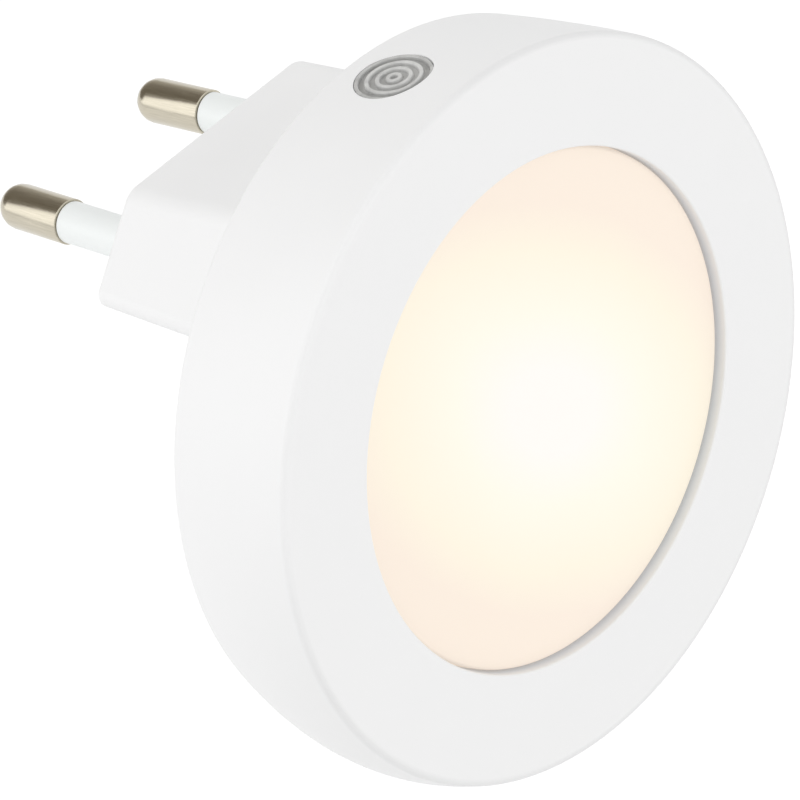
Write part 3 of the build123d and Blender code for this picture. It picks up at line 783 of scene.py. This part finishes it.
class NIGHTLIGHT_OT_sleeves(bpy.types.Operator):
    """Turn the insulating sleeves over the root half of the pins"""

    bl_idname = "night_light.sleeves"
    bl_label = "Pin sleeves"

    def execute(self, context):
        sizes = context.scene.night_light_pins
        # polyamide moulded over the pin: cool white with a soft gloss
        polyamide = moulded(
            "sleeve_polyamide", list(context.scene.night_light_colours.sleeve), 0.38, 0.3, 0.003,
            ior=1.53,
        )
        bore, gap = sizes.neck_radius + 0.05 * MM, 0.05 * MM
        points = [
            (bore, -sizes.sleeve_root), (sizes.sleeve_radius, -sizes.sleeve_root),
            (sizes.sleeve_radius, sizes.sleeve_length - gap), (bore, sizes.sleeve_length - gap),
        ]
        for side, hand in ((-1, "left"), (1, "right")):
            root, axis, radial = pin_line(sizes, side)
            bm = bmesh.new()
            outline(bm, points, {2: 0.1 * MM}, root, radial, axis)
            turn(bm, root, axis, 96)
            new_piece(f"polyamide_sleeve_{hand}", bm, polyamide, f"sleeve_{hand}")
        return {"FINISHED"}


def pin_line(sizes, side):
    """A pin's root on the plug face, its direction and a direction across it."""
    lean = asin((sizes.spacing_base - sizes.spacing_tip) / 2 / sizes.length)
    root = Vector((side * sizes.spacing_base / 2, 0, 0))
    return root, Vector((-side * sin(lean), cos(lean), 0)), Vector((0, 0, 1))


class NIGHTLIGHT_OT_sensor(bpy.types.Operator):
    """Finish the light sensor and its shroud"""

    bl_idname = "night_light.sensor"
    bl_label = "Light sensor"

    def execute(self, context):
        dress(cell_ceramic(), "photocell")
        # black rubber-filled nylon: dull, so that it soaks up stray light
        dress(moulded("shroud_nylon", linear("1B1B1C"), 0.7, 0.25, 0.01, 1.53), "sensor_shroud")
        return {"FINISHED"}


class NIGHTLIGHT_OT_wiring(bpy.types.Operator):
    """Finish the contact lugs and the two leads"""

    bl_idname = "night_light.wiring"
    bl_label = "Lugs and leads"

    def execute(self, context):
        colours = context.scene.night_light_colours
        # half-hard brass strip, stamped: yellow with fine rolling lines
        brass = drawn_metal("stamped_brass", linear("D9B777"), 0.28, 0.15, 2.5, along="X")
        dress(brass, "contact_lug_left", "contact_lug_right")
        # PVC insulation, extruded: smooth and faintly waxy
        dress(moulded("pvc_live", list(colours.live), 0.42, 0.5, 0.005, 1.53), "lead_left")
        dress(moulded("pvc_neutral", list(colours.neutral), 0.42, 0.5, 0.005, 1.53), "lead_right")
        return {"FINISHED"}


class NIGHTLIGHT_OT_board(bpy.types.Operator):
    """Finish the circuit board and the parts on it"""

    bl_idname = "night_light.board"
    bl_label = "Circuit board"

    def execute(self, context):
        dress(board_laminate(list(context.scene.night_light_colours.board)), "circuit_board")
        # LED packages: all in the pale yellow of their phosphor, without the white cups
        dress(moulded("led_phosphor", linear("F2E3A0"), 0.25, 0.5, 0.004, 1.5), "leds")
        # epoxy-dipped film capacitor: yellow with a soft orange peel
        dress(moulded("film_epoxy", linear("E2B21E"), 0.3, 1.1, 0.03, 1.55), "drop_capacitor")
        # shrink sleeve on an aluminium can, with its pale polarity stripe
        dress(banded("can_sleeve", linear("1A1C22"), linear("C9CCD2"), 6.3, 0.16, "X", 0.32),
              "smoothing_capacitor")
        # filled epoxy, transfer moulded: near black and matt
        dress(moulded("chip_epoxy", linear("232325"), 0.55, 0.15, 0.006, 1.57),
              "bridge_rectifier", "switching_transistor", "chip_resistors")
        # flameproof lacquer with dark bands
        dress(banded("fuse_lacquer", linear("7F8A8C"), linear("3A2A22"), 1.25, 0.3, "X", 0.45),
              "fuse_resistor")
        return {"FINISHED"}


class NIGHTLIGHT_OT_screws(bpy.types.Operator):
    """Finish the board screws and the cover screws"""

    bl_idname = "night_light.screws"
    bl_label = "Screws"

    def execute(self, context):
        # steel, rolled and zinc plated: cool grey with turning lines
        zinc = drawn_metal("zinc_steel", linear("B9BDC2"), 0.32, 0.1, 1.2, along="X")
        dress(zinc, "board_screws", "cover_screws")
        return {"FINISHED"}


class NIGHTLIGHT_OT_stage(bpy.types.Operator):
    """Lay the floor and set the lamps, the background and the camera"""

    bl_idname = "night_light.stage"
    bl_label = "Stage"

    def execute(self, context):
        sizes = context.scene.night_light_stage
        low, high = packed_box
        centre = (low + high) / 2
        bm = bmesh.new()
        bmesh.ops.create_grid(bm, x_segments=1, y_segments=1, size=sizes.floor_size / 2)
        bmesh.ops.translate(bm, verts=bm.verts, vec=(0, 0, low.z - sizes.floor_drop))
        mesh = bpy.data.meshes.new("floor")
        bm.to_mesh(mesh)
        bm.free()
        mesh.materials.append(floor_paper())
        floor = bpy.data.objects.new("floor", mesh)
        context.scene.collection.objects.link(floor)

        # a big soft box beside the plug, a second before the bezel
        for name, towards, reach, side, power in (
            ("side_lamp", (-0.62, 0.42, 0.62), 0.50, 0.76, sizes.side_power),
            ("front_lamp", (0.15, -0.90, 0.12), 0.60, 0.60, sizes.front_power),
        ):
            data = bpy.data.lights.new(name, "AREA")
            data.shape = "SQUARE"
            data.size = side
            data.energy = power
            lamp = bpy.data.objects.new(name, data)
            lamp.location = centre + Vector(towards).normalized() * reach
            lamp.rotation_euler = Vector(towards).to_track_quat("Z", "Y").to_euler()
            context.scene.collection.objects.link(lamp)

        # a dark flag above the wall side, paler to the right, which only reflections see: it
        # gives the pins their dark band and takes a little gloss off plastic and window
        near, far = FLAG_ENDS
        along = (far - near).normalized()
        facing = (near + far).normalized()
        facing = (facing - along * facing.dot(along)).normalized()
        bm = bmesh.new()
        bmesh.ops.create_grid(bm, x_segments=1, y_segments=1, size=0.5)
        bmesh.ops.scale(bm, verts=bm.verts, vec=((far - near).length, 0.5, 1))
        place = Matrix((along, facing.cross(along), facing)).transposed().to_4x4()
        mesh = bpy.data.meshes.new("dark_flag")
        bm.to_mesh(mesh)
        bm.free()
        mesh.materials.append(flag_cloth((far - near).length))
        flag = bpy.data.objects.new("dark_flag", mesh)
        flag.matrix_world = Matrix.Translation(centre + (near + far) / 2) @ place
        context.scene.collection.objects.link(flag)
        flag.visible_camera = False
        flag.visible_diffuse = False
        flag.visible_shadow = False
        flag.visible_transmission = False

        world = context.scene.world or bpy.data.worlds.new("studio")
        context.scene.world = world
        world.use_nodes = True
        tree = world.node_tree
        tree.nodes.clear()
        around = node(tree, "ShaderNodeBackground", {
            "Color": (1.0, 1.0, 1.0, 1.0), "Strength": sizes.ambient,
        })
        white = node(tree, "ShaderNodeBackground", {"Color": (1.0, 1.0, 1.0, 1.0), "Strength": 1.0})
        mix = node(tree, "ShaderNodeMixShader", {
            "Fac": seen_rays(tree), 1: around.outputs["Background"], 2: white.outputs["Background"],
        })
        node(tree, "ShaderNodeOutputWorld", {"Surface": mix.outputs["Shader"]})
        context.scene.view_settings.view_transform = "Standard"

        data = bpy.data.cameras.new("camera")
        data.lens = sizes.focal_length
        data.sensor_width = 36
        data.clip_start, data.clip_end = 0.02, 20
        camera = bpy.data.objects.new("camera", data)
        axes = Matrix((CAMERA_RIGHT, CAMERA_UP, CAMERA_RIGHT.cross(CAMERA_UP))).transposed()
        camera.matrix_world = Matrix.Translation(CAMERA_PLACE) @ axes.to_4x4()
        context.scene.collection.objects.link(camera)
        context.scene.camera = camera
        return {"FINISHED"}


OPERATORS = (
    NIGHTLIGHT_OT_housing, NIGHTLIGHT_OT_cover, NIGHTLIGHT_OT_lens, NIGHTLIGHT_OT_window,
    NIGHTLIGHT_OT_pins, NIGHTLIGHT_OT_sleeves, NIGHTLIGHT_OT_sensor, NIGHTLIGHT_OT_wiring,
    NIGHTLIGHT_OT_board, NIGHTLIGHT_OT_screws, NIGHTLIGHT_OT_stage,
)


class NIGHTLIGHT_PT_panel(bpy.types.Panel):
    """Sizes, colours and steps of the night light"""

    bl_idname = "NIGHTLIGHT_PT_panel"
    bl_label = "Night light"
    bl_space_type = "VIEW_3D"
    bl_region_type = "UI"
    bl_category = "Night light"

    def draw(self, context):
        for name in GROUPS:
            group = getattr(context.scene, name)
            box = self.layout.box()
            for key in group.bl_rna.properties.keys():
                if key not in ("rna_type", "name"):
                    box.prop(group, key)
        for operator in OPERATORS:
            self.layout.operator(operator.bl_idname)


GROUPS = {
    "night_light_lens": LensSizes,
    "night_light_window": WindowSizes,
    "night_light_pins": PinSizes,
    "night_light_colours": Colours,
    "night_light_stage": StageSizes,
}


def register():
    for group in GROUPS.values():
        bpy.utils.register_class(group)
    for name, group in GROUPS.items():
        setattr(bpy.types.Scene, name, bpy.props.PointerProperty(type=group))
    for operator in OPERATORS:
        bpy.utils.register_class(operator)
    bpy.utils.register_class(NIGHTLIGHT_PT_panel)


def unregister():
    bpy.utils.unregister_class(NIGHTLIGHT_PT_panel)
    for operator in reversed(OPERATORS):
        bpy.utils.unregister_class(operator)
    for name in GROUPS:
        delattr(bpy.types.Scene, name)
    for group in reversed(list(GROUPS.values())):
        bpy.utils.unregister_class(group)


def main():
    """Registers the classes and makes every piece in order."""
    register()
    bpy.ops.night_light.housing()
    bpy.ops.night_light.cover()
    bpy.ops.night_light.lens()
    bpy.ops.night_light.window()
    bpy.ops.night_light.pins()
    bpy.ops.night_light.sleeves()
    bpy.ops.night_light.sensor()
    bpy.ops.night_light.wiring()
    bpy.ops.night_light.board()
    bpy.ops.night_light.screws()
    bpy.ops.night_light.stage()


if __name__ == "__main__":
    main()
